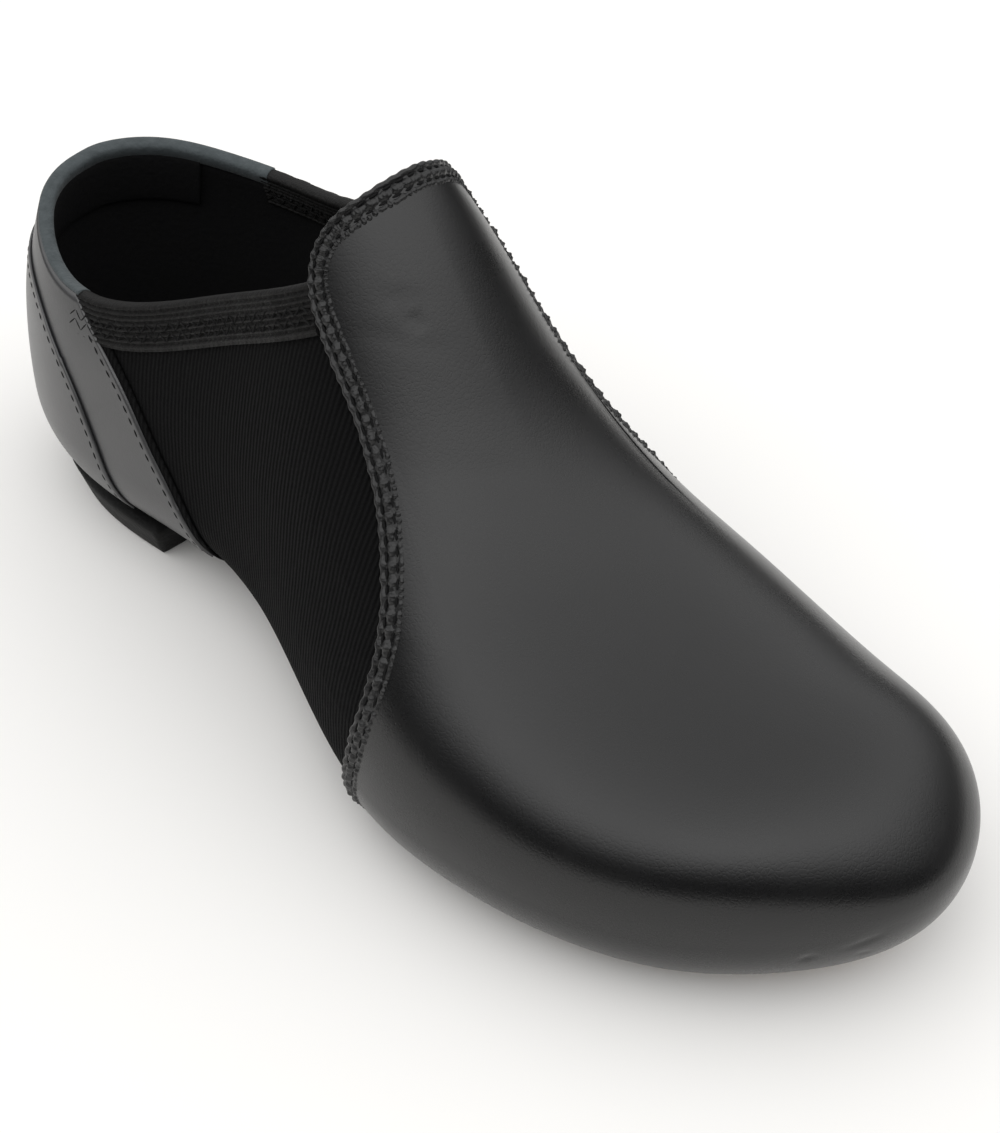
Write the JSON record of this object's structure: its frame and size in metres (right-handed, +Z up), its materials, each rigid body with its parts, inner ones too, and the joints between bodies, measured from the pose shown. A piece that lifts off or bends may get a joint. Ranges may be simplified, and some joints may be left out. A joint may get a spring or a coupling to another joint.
{
  "type": "jazz shoe",
  "caption": "Black slip-on jazz shoe with smooth leather vamp and tongue, elastic knit sides, leather counter, thin forefoot pad and separate low heel.",
  "frame": {"origin": "centre of the shoe's box in plan, on the floor under the sole", "axes": "+X towards the toe, +Y towards the inner side of the foot, +Z up"},
  "size_m": [0.2362, 0.089, 0.1092],
  "materials": {
    "knit": "matte ribbed stretch knit",
    "vamp_leather": "smooth satin leather",
    "band_leather": "turned and puckered leather, stitched",
    "counter_leather": "smooth satin leather",
    "patch_leather": "smooth satin leather",
    "elastic": "matte ribbed elastic",
    "lining": "matte fabric sock",
    "suede": "napped suede",
    "heel_rubber": "matte moulded rubber"
  },
  "bodies": {
    "root": {"upper": "knit", "vamp": "vamp_leather", "vamp_edge": "band_leather", "counter": "counter_leather", "heel_patch": "patch_leather", "elastic_near": "elastic", "elastic_far": "elastic", "insole": "lining", "forefoot_sole": "suede", "heel": "heel_rubber"}
  },
  "joints": []
}
